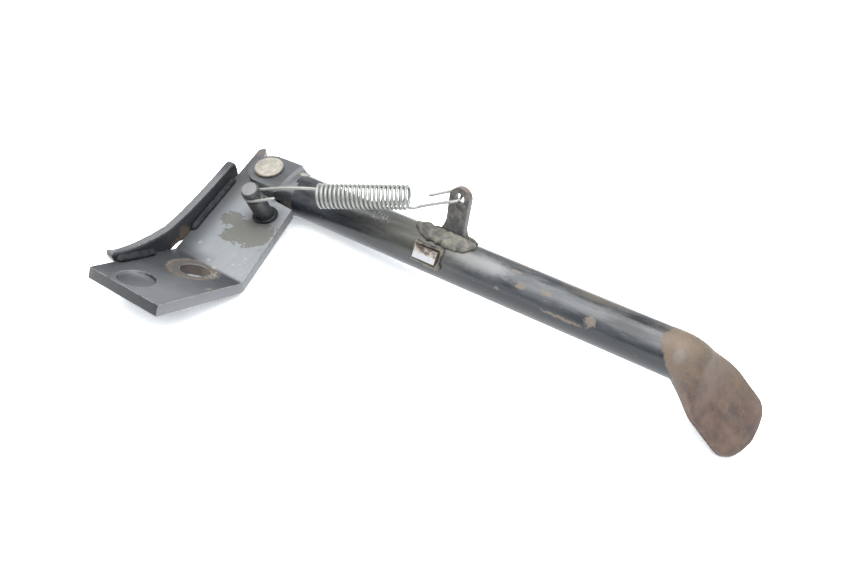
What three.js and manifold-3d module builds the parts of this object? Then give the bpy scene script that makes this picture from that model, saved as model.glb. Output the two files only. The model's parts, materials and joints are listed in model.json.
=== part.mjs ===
// Side stand (kickstand) of a light motorcycle: a bent steel bracket with a gusset rib, a tubular leg that
// swings on a rivet, and a tension spring between a post on the bracket and a tab on the leg.
// Everything is built in the frame of the bracket's upper flange: X along the leg, Z along the pivot rivet,
// the origin on the rivet's axis in the middle of the plate. The last group turns the finished stand onto
// the three points it lies on. Millimetres.
import * as THREE from 'three';
import { mergeVertices } from 'three/addons/utils/BufferGeometryUtils.js';
import Module from 'manifold-3d';

const wasm = await Module();
wasm.setup();

const { PI, cos, sin, tan, atan2 } = Math;
const degrees = PI / 180;

// ---- driving dimensions -------------------------------------------------------------------------------
const gap = 0.3; // air between pieces that touch on the real stand
const runningGap = 0.08; // radial clearance of the pivot rivet

// bracket
const plateThick = 5;
const plateTop = plateThick / 2;
const bendY = -59.7; // the inner bend line, across the plate
const bendAngle = 29.7 * degrees;
const bendInner = 3; // inside radius of the bend
const lowerLength = 47.5; // from the bend line to the end of the lower flange
const lowerLeft = -4.2;
const lowerRight = 36.1;
const stopCorner = [23.2, -12.0]; // where the upper flange ends beside the leg
const stopEdge = [13.0, -11.3];
const lobeRadius = 11.2; // plate around the rivet
const fingerInner = [-14.1, 10.4]; // the finger that stops the leg when it is down
const fingerTip = [-17.0, 15.2];
const fingerOuter = [-20.4, 13.4];
const seatPlace = { x: 13.0, along: 37.9, radius: 8.3, depth: 2.4 };
const boltPlace = { x: 17.3, along: 9.1, radius: 6.75 };

// gusset rib
const ribThick = 4.5;
const ribNoseY = -89.5;
const ribEndY = -5.2;
const ribSink = 1.5; // how far the rib reaches below the top face of the plate
const weldLeg = 2.2;

// pivot
const rivetRadius = 5;
const headRadius = 7;
const headThick = 1.5;
const tailRadius = 6.4;
const tailThick = 2.5;

// leg
const legAngle = 1.8 * degrees; // the leg against the bend line, resting on its stop
const tubeRadius = 10;
const tubeWall = 2.5;
const earHalfHeight = 8.5;
const earRadius = 10; // the ears' round end, about the rivet
const earBulge = 11.4; // half the width where pressing the tube flat has spread it
const slotHalf = plateTop + gap;
const slotDepth = 12.4;
const forkFlatEnd = 11.3; // the flattened end turns round from here
const forkEnd = 20;
const tubeEnd = 208.5;

// foot
const footDrop = 46 * degrees; // the foot's bend below the leg
const footBendRadius = 9;
const footLength = 48.2;
const footHalfWidth = 14.8;
const footThick = 4.6;
const footFlattening = 24; // length over which the round tube becomes flat
const footTip = 11.5; // length of the rounded end
const footTwist = 12.5 * degrees;

// spring post
const postBase = new THREE.Vector3(15.5, -21.4, plateTop);
const postLean = new THREE.Vector3(0, -0.27, 0.963).normalize();
const postLength = 21.3;
const postRadius = 4.2;
const grooveRadius = 3.1;
const grooveWidth = 4.2;
const headLand = 3.0;

// tab on the leg that takes the rear hook
const tabX = 102.3;
const tabLean = 20 * degrees; // from straight up towards the far side of the leg
const tabThick = 3;
const tabHole = { radius: 2.3, height: 29.3 };
const tabRound = 5;

// stop lug beside the tab
const lugX = 95.6;
const lugLean = -53 * degrees;
const lugHalfLength = 5.7;
const lugHalfWidth = 2.9;
const lugHeight = 12.7;

// the plane that the stand lies on, in the frame of the upper flange
const restNormal = [0.0873, 0.1549, 0.9841];

// spring
const wireRadius = 0.7;
const coilRadius = 4.95; // to the middle of the wire
const rearLoopRadius = 3.7;
const rearLoopSide = 1.1;
const coilTurns = 20;
const coilPhase = 14 * degrees; // where the wire leaves the coil, from its far side upwards
const endGap = 5 * degrees; // of turn, between the coil's end and the hook that carries on from it
const coilStart = 31.5; // from the post's groove to the first turn, along the spring
const coilLength = 40;
const coilPitch = coilLength / coilTurns;

// ---- helpers ------------------------------------------------------------------------------------------
function material(color, roughness, metalness) {
  return new THREE.MeshStandardMaterial({ color, roughness, metalness });
}

const blackPaint = material(0x24272a, 0.4, 0.1);
const wornPaint = material(0x5c6064, 0.5, 0.3);
const bareRust = material(0x8a6a5c, 0.75, 0.4);
const weldMetal = material(0x6d655c, 0.7, 0.5);
const zincWire = material(0xb4b6a8, 0.35, 0.9);
const yellowZinc = material(0xb3a883, 0.4, 0.85);

function toSolid(geometry) {
  const bare = geometry.clone();
  bare.deleteAttribute('normal');
  bare.deleteAttribute('uv');
  const merged = mergeVertices(bare, 1e-4);
  return new wasm.Manifold(new wasm.Mesh({
    numProp: 3,
    vertProperties: new Float32Array(merged.attributes.position.array),
    triVerts: new Uint32Array(merged.index.array),
  }));
}

function toGeometry(solid) {
  const data = solid.getMesh();
  const geometry = new THREE.BufferGeometry();
  geometry.setAttribute('position', new THREE.BufferAttribute(data.vertProperties, 3));
  geometry.setIndex(new THREE.BufferAttribute(data.triVerts, 1));
  geometry.computeVertexNormals();
  return geometry;
}

function piece(name, shape, look) {
  const geometry = shape.isBufferGeometry ? shape : toGeometry(shape);
  const mesh = new THREE.Mesh(geometry, look);
  mesh.name = name;
  return mesh;
}

// a prism between two heights from an outline in X and Y
function prism(outline, bottom, top, curveSegments = 12) {
  const shape = outline instanceof THREE.Shape ? outline
    : new THREE.Shape(outline.map(([x, y]) => new THREE.Vector2(x, y)));
  const geometry = new THREE.ExtrudeGeometry(shape, { depth: top - bottom, bevelEnabled: false, curveSegments });
  return geometry.translate(0, 0, bottom);
}

// a prism whose outline lies in Y and Z and which runs along X
function crossPrism(outline, left, right) {
  const geometry = prism(outline, left, right);
  return geometry.applyMatrix4(new THREE.Matrix4().makeBasis(
    new THREE.Vector3(0, 1, 0), new THREE.Vector3(0, 0, 1), new THREE.Vector3(1, 0, 0)));
}

// a closed lathe along Z from [radius, height] pairs
function turned(profile, segments = 40) {
  const geometry = new THREE.LatheGeometry(profile.map(([r, z]) => new THREE.Vector2(r, z)), segments);
  return geometry.rotateX(PI / 2);
}

function upright(radius, bottom, top, segments = 40) {
  return turned([[0, bottom], [radius, bottom], [radius, top], [0, top]], segments);
}

// turns Z onto an axis and moves the origin to a place
function standOn(geometry, place, axis) {
  const turn = new THREE.Quaternion().setFromUnitVectors(new THREE.Vector3(0, 0, 1), axis);
  return geometry.applyQuaternion(turn).translate(place.x, place.y, place.z);
}

// a closed skin over a row of rings that all have the same number of points
function loft(rings) {
  const count = rings[0].length;
  const positions = rings.flat().flatMap((p) => [p.x, p.y, p.z]);
  const index = [];
  for (let i = 0; i < rings.length - 1; i += 1) {
    for (let j = 0; j < count; j += 1) {
      const a = i * count + j;
      const b = i * count + ((j + 1) % count);
      index.push(a, b, b + count, a, b + count, a + count);
    }
  }
  for (const [ring, first] of [[rings[0], 0], [rings.at(-1), (rings.length - 1) * count]]) {
    const middle = ring.reduce((sum, p) => sum.clone().add(p), new THREE.Vector3()).divideScalar(count);
    const hub = positions.length / 3;
    positions.push(middle.x, middle.y, middle.z);
    for (let j = 0; j < count; j += 1) {
      const a = first + j;
      const b = first + ((j + 1) % count);
      index.push(...(first === 0 ? [b, a, hub] : [a, b, hub]));
    }
  }
  const geometry = new THREE.BufferGeometry();
  geometry.setAttribute('position', new THREE.Float32BufferAttribute(positions, 3));
  geometry.setIndex(signedVolume(positions, index) < 0 ? index.reverse() : index);
  return geometry;
}

// negative where the faces of a closed skin point inwards
function signedVolume(positions, index) {
  const corner = (i) => new THREE.Vector3().fromArray(positions, index[i] * 3);
  let volume = 0;
  for (let i = 0; i < index.length; i += 3) volume += corner(i).dot(corner(i + 1).cross(corner(i + 2))) / 6;
  return volume;
}

// round wire along a curve
function wire(curve, radius, steps, sides = 8) {
  const section = new THREE.Shape();
  section.absarc(0, 0, radius, 0, 2 * PI, false);
  return new THREE.ExtrudeGeometry(section, { steps, extrudePath: curve, curveSegments: sides / 2 });
}

// ---- bracket ------------------------------------------------------------------------------------------
const flangeDown = [-cos(bendAngle), sin(bendAngle)]; // down the lower flange, in Y and Z
const flangeUp = [sin(bendAngle), cos(bendAngle)]; // out of the lower flange's top face

function onLowerFlange(along, height) {
  return [
    bendY + flangeDown[0] * along + flangeUp[0] * height,
    plateTop + flangeDown[1] * along + flangeUp[1] * height,
  ];
}

// the left edge of the bracket in plan: straight down the lower flange, leaning beside the upper one
const leftLean = (fingerOuter[0] - lowerLeft) / (fingerOuter[1] - bendY);

function leftEdge(y) {
  return lowerLeft + Math.max(0, y - bendY) * leftLean;
}

function bendArc(radius, steps = 6) {
  // the bend's centre is above the inner faces of both flanges
  const reach = bendInner * tan(bendAngle / 2);
  const centre = [bendY + reach, plateTop + bendInner];
  return Array.from({ length: steps + 1 }, (_, i) => {
    const turn = -PI / 2 - bendAngle * (i / steps);
    return [centre[0] + radius * cos(turn), centre[1] + radius * sin(turn)];
  });
}

function bracketPlate() {
  const side = [
    [30, plateTop],
    ...bendArc(bendInner),
    onLowerFlange(lowerLength, 0),
    onLowerFlange(lowerLength, -plateThick),
    ...bendArc(bendInner + plateThick).reverse(),
    [30, -plateTop],
  ].reverse();
  const plan = new THREE.Shape();
  plan.moveTo(lowerLeft, -120);
  plan.lineTo(lowerRight, -120);
  plan.lineTo(lowerRight, bendY);
  plan.lineTo(...stopCorner);
  plan.lineTo(...stopEdge);
  const lobeStart = atan2(stopEdge[1] + 2.2, stopEdge[0] - 4.2);
  plan.absarc(0, 0, lobeRadius, lobeStart, 118 * degrees, false);
  plan.lineTo(...fingerInner);
  plan.lineTo(...fingerTip);
  plan.quadraticCurveTo(fingerTip[0] - 1.6, fingerTip[1] + 1.6, ...fingerOuter);
  plan.lineTo(lowerLeft, bendY);
  const strip = toSolid(crossPrism(side, -40, 50));
  const outline = toSolid(prism(plan, -60, 90, 16));
  const bore = toSolid(upright(rivetRadius + runningGap, -20, 20, 48));
  return strip.intersect(outline).subtract(bore)
    .subtract(flangeCutter(boltPlace, upright(boltPlace.radius, -10, 10)))
    .subtract(flangeCutter(seatPlace, seatBowl()));
}

// the punched seat: a shallow bowl with a flat floor
function seatBowl() {
  const { radius, depth } = seatPlace;
  return turned([[0, -depth], [radius * 0.55, -depth], [radius * 0.78, -depth * 0.85], [radius * 0.93, -depth * 0.5],
    [radius, 0], [radius, 10], [0, 10]]);
}

// a round cutter set square to the lower flange
function flangeCutter({ x, along }, geometry) {
  const [y, z] = onLowerFlange(along, 0);
  const axis = new THREE.Vector3(0, flangeUp[0], flangeUp[1]);
  return toSolid(standOn(geometry, new THREE.Vector3(x, y, z), axis));
}

function flangeTopAt(y) {
  return plateTop + Math.max(0, bendY - y) * tan(bendAngle);
}

function gussetRib() {
  const top = new THREE.SplineCurve([
    [ribNoseY + 1, 23.6], [-85, 21.0], [-76, 17.3], [-62, 13.9], [-45, 11.4], [-25, 10.1], [ribEndY - 3.5, 9.9],
  ].map(([y, z]) => new THREE.Vector2(y, z))).getPoints(24).map((p) => [p.x, p.y]);
  const side = [
    [ribNoseY, flangeTopAt(ribNoseY) - ribSink],
    [bendY - 3, flangeTopAt(bendY - 3) - ribSink],
    [bendY - 0.5, plateTop + 1.1],
    [bendY + 3.5, plateTop + 0.6],
    [bendY + 7, plateTop - ribSink],
    [ribEndY, plateTop - ribSink],
    [ribEndY, 7.4],
    [ribEndY - 0.9, 9.2],
    ...top.reverse(),
    [ribNoseY - 0.6, 22.2],
  ];
  const inner = [];
  const outer = [];
  for (const y of [-110, bendY - 6, bendY - 2, bendY + 2, bendY + 8, 10]) {
    inner.push([leftEdge(y) - gap, y]);
    outer.push([leftEdge(y) - gap - ribThick, y]);
  }
  const band = [...outer.reverse(), ...inner];
  return toSolid(crossPrism(side, -60, 20)).intersect(toSolid(prism(band, -30, 60)));
}

// a weld bead along a line in space: a low, slightly rippled round ridge filling the corner that two
// directions span
function bead(from, to, sideA, sideB, leg, ripples) {
  const rings = [];
  const steps = ripples * 4;
  for (let i = 0; i <= steps; i += 1) {
    const place = from.clone().lerp(to, i / steps);
    const ends = Math.min(1, Math.min(i, steps - i) / 3 + 0.35);
    const size = leg * ends * (0.97 + 0.03 * cos((i / 4) * 2 * PI));
    const ring = [place.clone().addScaledVector(sideA, gap).addScaledVector(sideB, gap)];
    for (let j = 0; j <= 5; j += 1) {
      const turn = (j / 5) * (PI / 2);
      const flat = size * (0.78 + 0.22 * Math.abs(cos(2 * turn)));
      ring.push(place.clone().addScaledVector(sideA, gap + flat * cos(turn))
        .addScaledVector(sideB, gap + flat * sin(turn)));
    }
    rings.push(ring);
  }
  return loft(rings);
}

function ribWeldUpper() {
  const ends = [-47, -10].map((y) => new THREE.Vector3(leftEdge(y), y, plateTop));
  const up = new THREE.Vector3(0, 0, 1);
  const along = ends[1].clone().sub(ends[0]).normalize();
  const inwards = along.clone().cross(up);
  ends.forEach((end) => end.addScaledVector(inwards, -gap));
  return bead(ends[0], ends[1], inwards, up, weldLeg, 14);
}

function ribWeldLower() {
  // between the rib's inner face and the top of the lower flange, from the nose
  const ends = [ribNoseY + 0.2, -71].map((y) => new THREE.Vector3(leftEdge(y) - gap, y, flangeTopAt(y)));
  const up = new THREE.Vector3(0, flangeUp[0], flangeUp[1]);
  return bead(ends[0], ends[1], new THREE.Vector3(1, 0, 0), up, weldLeg + 0.3, 8);
}

// ---- spring post --------------------------------------------------------------------------------------
const grooveTop = postLength - headLand;
const grooveMiddle = grooveTop - grooveWidth / 2;

function onPost(height) {
  return postBase.clone().addScaledVector(postLean, height);
}

function postTurned(extra) {
  return turned([
    [0, -6], [postRadius + extra, -6], [postRadius + extra, grooveTop - grooveWidth],
    [grooveRadius + extra, grooveTop - grooveWidth + 0.6],
    [grooveRadius + extra, grooveTop - 0.6], [postRadius + extra, grooveTop], [postRadius + extra, postLength - 0.7],
    [postRadius - 0.7 + extra, postLength + extra], [0, postLength + extra],
  ], 32);
}

function springPost() {
  const pin = toSolid(standOn(postTurned(0), postBase, postLean));
  return pin.subtract(toSolid(prism([[-50, -90], [80, -90], [80, 60], [-50, 60]], -20, plateTop + gap)));
}

function postWeld() {
  const mound = toSolid(standOn(
    turned([[0, -3], [postRadius + 1.6, -3], [postRadius + 1.6, 0.5], [postRadius + 1.1, 1.1],
      [postRadius, 1.9], [0, 1.9]], 32), postBase, new THREE.Vector3(0, 0, 1)));
  const floor = toSolid(prism([[-50, -90], [80, -90], [80, 60], [-50, 60]], -20, plateTop + gap));
  return mound.subtract(toSolid(standOn(postTurned(gap), postBase, postLean))).subtract(floor);
}

// ---- pivot --------------------------------------------------------------------------------------------
function pivotRivet() {
  const seat = earHalfHeight + gap;
  return turned([
    [0, -seat - tailThick], [tailRadius - 1.2, -seat - tailThick], [tailRadius, -seat - tailThick + 0.9],
    [tailRadius, -seat - 0.5], [tailRadius - 0.4, -seat], [rivetRadius, -seat],
    [rivetRadius, seat], [headRadius - 0.2, seat], [headRadius, seat + 0.3],
    [headRadius, seat + headThick - 0.5], [headRadius - 0.6, seat + headThick], [0, seat + headThick + 0.15],
  ], 48);
}

// ---- leg, built along its own X axis and turned by legAngle ---------------------------------------------
function alongLeg(shape) {
  return toSolid(shape.isBufferGeometry ? shape : toGeometry(shape)).rotate([0, 0, legAngle / degrees]);
}

function lengthways(geometry, from) {
  // a lathe about Z becomes one about X
  return geometry.rotateY(PI / 2).translate(from, 0, 0);
}

function forkEndPiece() {
  const plan = new THREE.Shape();
  plan.moveTo(forkEnd, -tubeRadius);
  plan.lineTo(forkEnd, tubeRadius);
  plan.quadraticCurveTo(forkFlatEnd + 4, earBulge + 0.2, forkFlatEnd - 3, earBulge);
  plan.quadraticCurveTo(4, earBulge - 0.2, 0, earRadius);
  plan.absarc(0, 0, earRadius, PI / 2, 1.5 * PI, false);
  plan.quadraticCurveTo(4, 0.2 - earBulge, forkFlatEnd - 3, -earBulge);
  plan.quadraticCurveTo(forkFlatEnd + 4, -0.2 - earBulge, forkEnd, -tubeRadius);
  // sections along the leg: boxy over the ears, round at the tube
  const rings = [];
  for (const [x, roundness, half] of [[-12, 0, earHalfHeight], [forkFlatEnd, 0, earHalfHeight],
    [forkFlatEnd + 1.2, 0.25, earHalfHeight + 0.9], [forkFlatEnd + 4.5, 0.7, 9.7], [forkEnd, 1, tubeRadius]]) {
    rings.push(Array.from({ length: 40 }, (_, j) => {
      const turn = -((j + 0.5) / 40) * 2 * PI;
      const sharp = 1 / Math.max(Math.abs(cos(turn)) ** 8 + Math.abs(sin(turn)) ** 8, 1e-9) ** 0.125;
      const reach = sharp * (1 - roundness) + roundness;
      const wide = earBulge + 0.4 + (tubeRadius - earBulge - 0.4) * roundness;
      return new THREE.Vector3(x, wide * reach * cos(turn), half * reach * sin(turn));
    }));
  }
  const slot = new THREE.Shape();
  slot.moveTo(-20, -slotHalf);
  slot.lineTo(slotDepth, -slotHalf);
  slot.absarc(slotDepth, 0, slotHalf, -PI / 2, PI / 2, false);
  slot.lineTo(-20, slotHalf);
  const slotCut = new THREE.ExtrudeGeometry(slot, { depth: 40, bevelEnabled: false, curveSegments: 6 });
  slotCut.rotateX(PI / 2).translate(0, 20, 0);
  const body = toSolid(loft(rings)).intersect(toSolid(prism(plan, -15, 15, 16)));
  const bore = toSolid(upright(rivetRadius + runningGap, -20, 20, 48));
  return alongLeg(body.subtract(toSolid(slotCut)).subtract(bore));
}

function legTube() {
  const inner = tubeRadius - tubeWall;
  const start = forkEnd + gap;
  return alongLeg(lengthways(turned([
    [inner, start], [tubeRadius, start], [tubeRadius, tubeEnd], [inner, tubeEnd], [inner, start],
  ], 40), 0));
}

// the foot: the end of the tube pressed flat and bent down, so that its width lies across the leg
function footPaddle() {
  const start = tubeEnd + gap;
  const bendLength = footBendRadius * footDrop;
  const rings = [];
  const steps = 24;
  for (let i = 0; i <= steps; i += 1) {
    const s = (i / steps) * footLength;
    const bend = Math.min(s / footBendRadius, footDrop);
    const straight = Math.max(0, s - bendLength);
    const centre = new THREE.Vector3(
      start + footBendRadius * sin(bend) + straight * cos(bend), 0,
      -footBendRadius * (1 - cos(bend)) - straight * sin(bend));
    const flat = THREE.MathUtils.smoothstep(s, 0, footFlattening);
    const tip = Math.max(0, s - (footLength - footTip)) / footTip;
    const wide = (tubeRadius + (footHalfWidth - tubeRadius) * flat) * Math.sqrt(Math.max(0.01, 1 - tip ** 2.8));
    const high = tubeRadius + (footThick / 2 - tubeRadius) * flat;
    const across = new THREE.Vector3(0, 1, 0);
    const up = new THREE.Vector3(sin(bend), 0, cos(bend));
    const twist = new THREE.Quaternion().setFromAxisAngle(across.clone().cross(up), footTwist * flat);
    across.applyQuaternion(twist);
    up.applyQuaternion(twist);
    rings.push(Array.from({ length: 32 }, (_, j) => {
      const turn = (j / 32) * 2 * PI;
      const square = 1 + flat * 0.25 * sin(2 * turn) ** 2;
      return centre.clone().addScaledVector(across, wide * cos(turn) * square)
        .addScaledVector(up, high * sin(turn) * square);
    }));
  }
  return alongLeg(loft(rings));
}

// a frame on the tube at a place along the leg: out along the radius that leans by an angle
function radialFrame(x, lean) {
  return new THREE.Matrix4().makeBasis(
    new THREE.Vector3(1, 0, 0), new THREE.Vector3(0, sin(lean), cos(lean)),
    new THREE.Vector3(0, -cos(lean), sin(lean))).setPosition(x, 0, 0);
}

function tabOutline() {
  const shape = new THREE.Shape();
  shape.moveTo(-9.5, 0);
  shape.lineTo(10.5, 0);
  shape.lineTo(9, 10.2);
  shape.quadraticCurveTo(5.2, 12, 4.8, 17);
  shape.lineTo(tabRound, tabHole.height);
  shape.absarc(0, tabHole.height, tabRound, 0, PI, false);
  shape.lineTo(-4.6, 19);
  shape.quadraticCurveTo(-5.2, 13.5, -9.5, 10.4);
  return shape;
}

function insideTube(extra) {
  return toSolid(lengthways(upright(tubeRadius + extra, 0, tubeEnd, 48), 0));
}

function springTab() {
  const plate = prism(tabOutline(), -tabThick / 2, tabThick / 2, 14);
  const hole = upright(tabHole.radius, -10, 10, 28).translate(0, tabHole.height, 0);
  const frame = radialFrame(tabX, tabLean);
  return alongLeg(toSolid(plate.applyMatrix4(frame)).subtract(toSolid(hole.applyMatrix4(frame)))
    .subtract(insideTube(gap)));
}

function tabBlank(extra) {
  return toSolid(prism([[-12, 0], [13, 0], [13, 24], [-12, 24]], -tabThick / 2 - extra, tabThick / 2 + extra)
    .applyMatrix4(radialFrame(tabX, tabLean)));
}

// a lumpy fillet on one side of the tab; side is 1 for the near face and -1 for the far one
function tabWeld(side, reach) {
  const rings = [];
  const steps = 20;
  const frame = radialFrame(tabX, tabLean);
  for (let i = 0; i <= steps; i += 1) {
    const start = side > 0 ? -18.5 : -13.5;
    const x = start + (i / steps) * (11.5 - start);
    const ends = Math.sqrt(Math.max(0.08, 1 - Math.abs((2 * i) / steps - 1) ** 4));
    const lump = 1 + 0.07 * cos(i * 2.1);
    const rise = Math.min(1, (x - start) / 9); // the mound swells towards the tab
    const foot = (reach * ends * lump * (0.55 + 0.45 * rise) + tabThick / 2) * side;
    const high = 11 + 3.1 * ends * lump * rise;
    const ring = [[0, 6.5], [foot * 0.9, 7.0], [foot, 9.1], [foot * 0.86, 10.4], [foot * 0.5, 12.2], [0, high]];
    if (side < 0) ring.reverse();
    rings.push(ring.map(([out, up]) => new THREE.Vector3(x, up, out).applyMatrix4(frame)));
  }
  return alongLeg(toSolid(loft(rings)).subtract(insideTube(gap)).subtract(tabBlank(gap)));
}

function lugRing(halfLength, halfWidth, height, frame) {
  const corners = [[-1, -1], [1, -1], [1, 1], [-1, 1]];
  return corners.map(([a, b]) => new THREE.Vector3(a * halfLength, height, b * halfWidth).applyMatrix4(frame));
}

function lugBlock(extra, top) {
  const frame = radialFrame(lugX, lugLean);
  const [long, wide] = [lugHalfLength + extra, lugHalfWidth + extra];
  return toSolid(loft([lugRing(long, wide, 4, frame), lugRing(long, wide, top, frame)]));
}

function stopLug() {
  return alongLeg(lugBlock(0, lugHeight).subtract(insideTube(gap)));
}

function stopLugWeld() {
  const frame = radialFrame(lugX, lugLean);
  const mound = loft([lugRing(lugHalfLength + 2.0, lugHalfWidth + 2.0, 6, frame),
    lugRing(lugHalfLength + 1.8, lugHalfWidth + 1.7, 9.6, frame),
    lugRing(lugHalfLength + 1.1, lugHalfWidth + 1.0, 11.2, frame)]);
  return alongLeg(toSolid(mound).subtract(lugBlock(gap, 20)).subtract(insideTube(gap)));
}

// ---- spring -------------------------------------------------------------------------------------------
const legTurn = new THREE.Matrix4().makeRotationZ(legAngle);
const postHookPlace = onPost(grooveMiddle);
const tabHolePlace = new THREE.Vector3(0, tabHole.height, 0).applyMatrix4(radialFrame(tabX, tabLean))
  .applyMatrix4(legTurn);
const springWay = tabHolePlace.clone().sub(postHookPlace).normalize();
const springSide = new THREE.Vector3(0, 0, 1).cross(springWay).normalize(); // to the far side
const springUp = springWay.clone().cross(springSide);
const springReach = tabHolePlace.distanceTo(postHookPlace);

// a place by distance along the spring, to its far side, and up
function onSpring(along, side, up) {
  return postHookPlace.clone().addScaledVector(springWay, along).addScaledVector(springSide, side)
    .addScaledVector(springUp, up);
}

function onCoil(along, turn) {
  return onSpring(along, coilRadius * cos(turn), coilRadius * sin(turn));
}

class Helix extends THREE.Curve {
  getPoint(t, target = new THREE.Vector3()) {
    const turn = coilPhase + t * coilTurns * 2 * PI;
    return target.copy(onCoil(coilStart + t * coilLength, turn));
  }
}

function springCoil() {
  return wire(new Helix(), wireRadius, coilTurns * 12, 6);
}

function springFrontHook() {
  const loopRadius = grooveRadius + wireRadius + 0.55;
  const points = [onCoil(coilStart, coilPhase - endGap), onCoil(coilStart - 1.1, coilPhase - 4 * endGap),
    onCoil(coilStart - 5, 0),
    onSpring(coilStart / 2, loopRadius + 0.3, 0.8)];
  for (let i = 0; i <= 8; i += 1) {
    const turn = (80 + i * 25) * degrees;
    const place = springWay.clone().setZ(0).normalize().multiplyScalar(loopRadius * cos(turn))
      .add(springSide.clone().multiplyScalar(loopRadius * sin(turn)));
    points.push(postHookPlace.clone().add(place));
  }
  points.push(onSpring(6, -loopRadius + 0.6, 0.2), onSpring(11, -loopRadius + 1.6, 0.4));
  return wire(new THREE.CatmullRomCurve3(points, false, 'centripetal'), wireRadius, 72);
}

// the rear hook: half a turn more on the near side, along the spring's underside, through the tab's hole and
// back; its loop sits to the far side of the spring's line, because the tab stands askew to it
function springRearHook() {
  const end = coilStart + coilLength;
  const loopMiddle = springReach - Math.sqrt(rearLoopRadius ** 2 - rearLoopSide ** 2);
  const near = rearLoopSide - rearLoopRadius;
  const far = rearLoopSide + rearLoopRadius;
  const points = [endGap, 50 * degrees, 95 * degrees, 140 * degrees].map(
    (turn) => onCoil(end + (coilPitch * turn) / (2 * PI), coilPhase + turn));
  points.push(onCoil(end + 1.7, 205 * degrees), onSpring(end + 4.2, near - 0.6, -2.9),
    onSpring(end + 7, near - 0.2, -2.4), onSpring(loopMiddle - 4, near, -0.6));
  for (let i = 0; i <= 6; i += 1) {
    const turn = (-90 + i * 30) * degrees;
    points.push(onSpring(loopMiddle + rearLoopRadius * cos(turn), rearLoopSide + rearLoopRadius * sin(turn), 0));
  }
  points.push(onSpring(loopMiddle - 5, far - 0.8, -0.5), onSpring(loopMiddle - 11, far - 2.2, -1.2));
  return wire(new THREE.CatmullRomCurve3(points, false, 'centripetal'), wireRadius, 64);
}

// ---- assembly -----------------------------------------------------------------------------------------
const stand = new THREE.Group();
stand.add(
  piece('bracket_plate', bracketPlate(), wornPaint),
  piece('gusset_rib', gussetRib(), blackPaint),
  piece('rib_weld_upper', ribWeldUpper(), weldMetal),
  piece('rib_weld_lower', ribWeldLower(), weldMetal),
  piece('spring_post', springPost(), wornPaint),
  piece('spring_post_weld', postWeld(), weldMetal),
  piece('pivot_rivet', pivotRivet(), yellowZinc),
  piece('fork_end', forkEndPiece(), blackPaint),
  piece('leg_tube', legTube(), blackPaint),
  piece('foot_paddle', footPaddle(), bareRust),
  piece('spring_tab', springTab(), blackPaint),
  piece('tab_weld_near', tabWeld(1, 5.6), weldMetal),
  piece('tab_weld_far', tabWeld(-1, 2.6), weldMetal),
  piece('stop_lug', stopLug(), wornPaint),
  piece('stop_lug_weld', stopLugWeld(), weldMetal),
  piece('spring_front_hook', springFrontHook(), zincWire),
  piece('spring_coil', springCoil(), zincWire),
  piece('spring_rear_hook', springRearHook(), zincWire),
);

// the stand lies on the foot's end, the rivet's tail and the left end of the bend: this turns the normal of
// that plane upright and keeps the leg along X
const upwards = new THREE.Vector3(...restNormal).normalize();
const legwards = new THREE.Vector3(1, 0, 0).projectOnPlane(upwards).normalize();
const lying = new THREE.Matrix4().makeBasis(legwards, upwards.clone().cross(legwards), upwards).invert();
stand.setRotationFromMatrix(lying);
stand.updateMatrixWorld(true);
const bounds = new THREE.Box3().setFromObject(stand, true);
const middle = bounds.getCenter(new THREE.Vector3());
stand.position.set(-middle.x, -middle.y, -bounds.min.z);

export default stand;
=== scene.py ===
# Side stand of a light motorcycle, lying on a pale floor: worn paint, rust, weld beads and a zinc spring,
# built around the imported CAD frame. Shapes are in millimetres, in the bracket's own frame (X along the leg,
# Z out along the pivot rivet) or in the leg's, and are turned into the row frame in metres as they are made.
import json
from math import cos, pi, radians, sin, sqrt

import bmesh
import bpy
from mathutils import Matrix, Vector, noise
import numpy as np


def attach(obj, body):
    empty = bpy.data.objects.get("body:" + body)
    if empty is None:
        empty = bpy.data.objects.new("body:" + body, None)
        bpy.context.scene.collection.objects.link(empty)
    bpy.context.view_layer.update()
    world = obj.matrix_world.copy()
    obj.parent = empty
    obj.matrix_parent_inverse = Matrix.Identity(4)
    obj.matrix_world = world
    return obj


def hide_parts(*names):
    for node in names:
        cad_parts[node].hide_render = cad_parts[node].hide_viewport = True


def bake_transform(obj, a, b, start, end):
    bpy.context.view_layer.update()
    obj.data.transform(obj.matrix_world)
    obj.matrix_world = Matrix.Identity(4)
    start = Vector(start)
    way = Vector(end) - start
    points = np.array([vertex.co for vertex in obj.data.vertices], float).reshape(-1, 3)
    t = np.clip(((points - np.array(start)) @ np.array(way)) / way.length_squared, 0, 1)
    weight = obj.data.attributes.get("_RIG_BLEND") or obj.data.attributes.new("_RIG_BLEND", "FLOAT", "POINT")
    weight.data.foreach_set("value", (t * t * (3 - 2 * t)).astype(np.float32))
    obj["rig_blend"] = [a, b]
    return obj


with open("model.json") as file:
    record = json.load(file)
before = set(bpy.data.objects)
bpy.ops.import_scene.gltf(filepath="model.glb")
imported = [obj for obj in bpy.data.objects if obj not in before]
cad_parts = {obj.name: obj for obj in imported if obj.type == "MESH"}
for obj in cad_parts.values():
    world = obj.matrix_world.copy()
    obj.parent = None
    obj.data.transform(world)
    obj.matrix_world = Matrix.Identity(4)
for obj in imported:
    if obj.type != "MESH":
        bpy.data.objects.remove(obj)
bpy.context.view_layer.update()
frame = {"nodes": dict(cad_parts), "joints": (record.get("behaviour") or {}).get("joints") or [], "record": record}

MM = 0.001
JOINTS = {joint["name"]: joint for joint in frame["joints"]}
BODY_OF = {node: body for body, nodes in frame["record"]["behaviour"]["bodies"].items() for node in nodes}


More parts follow.
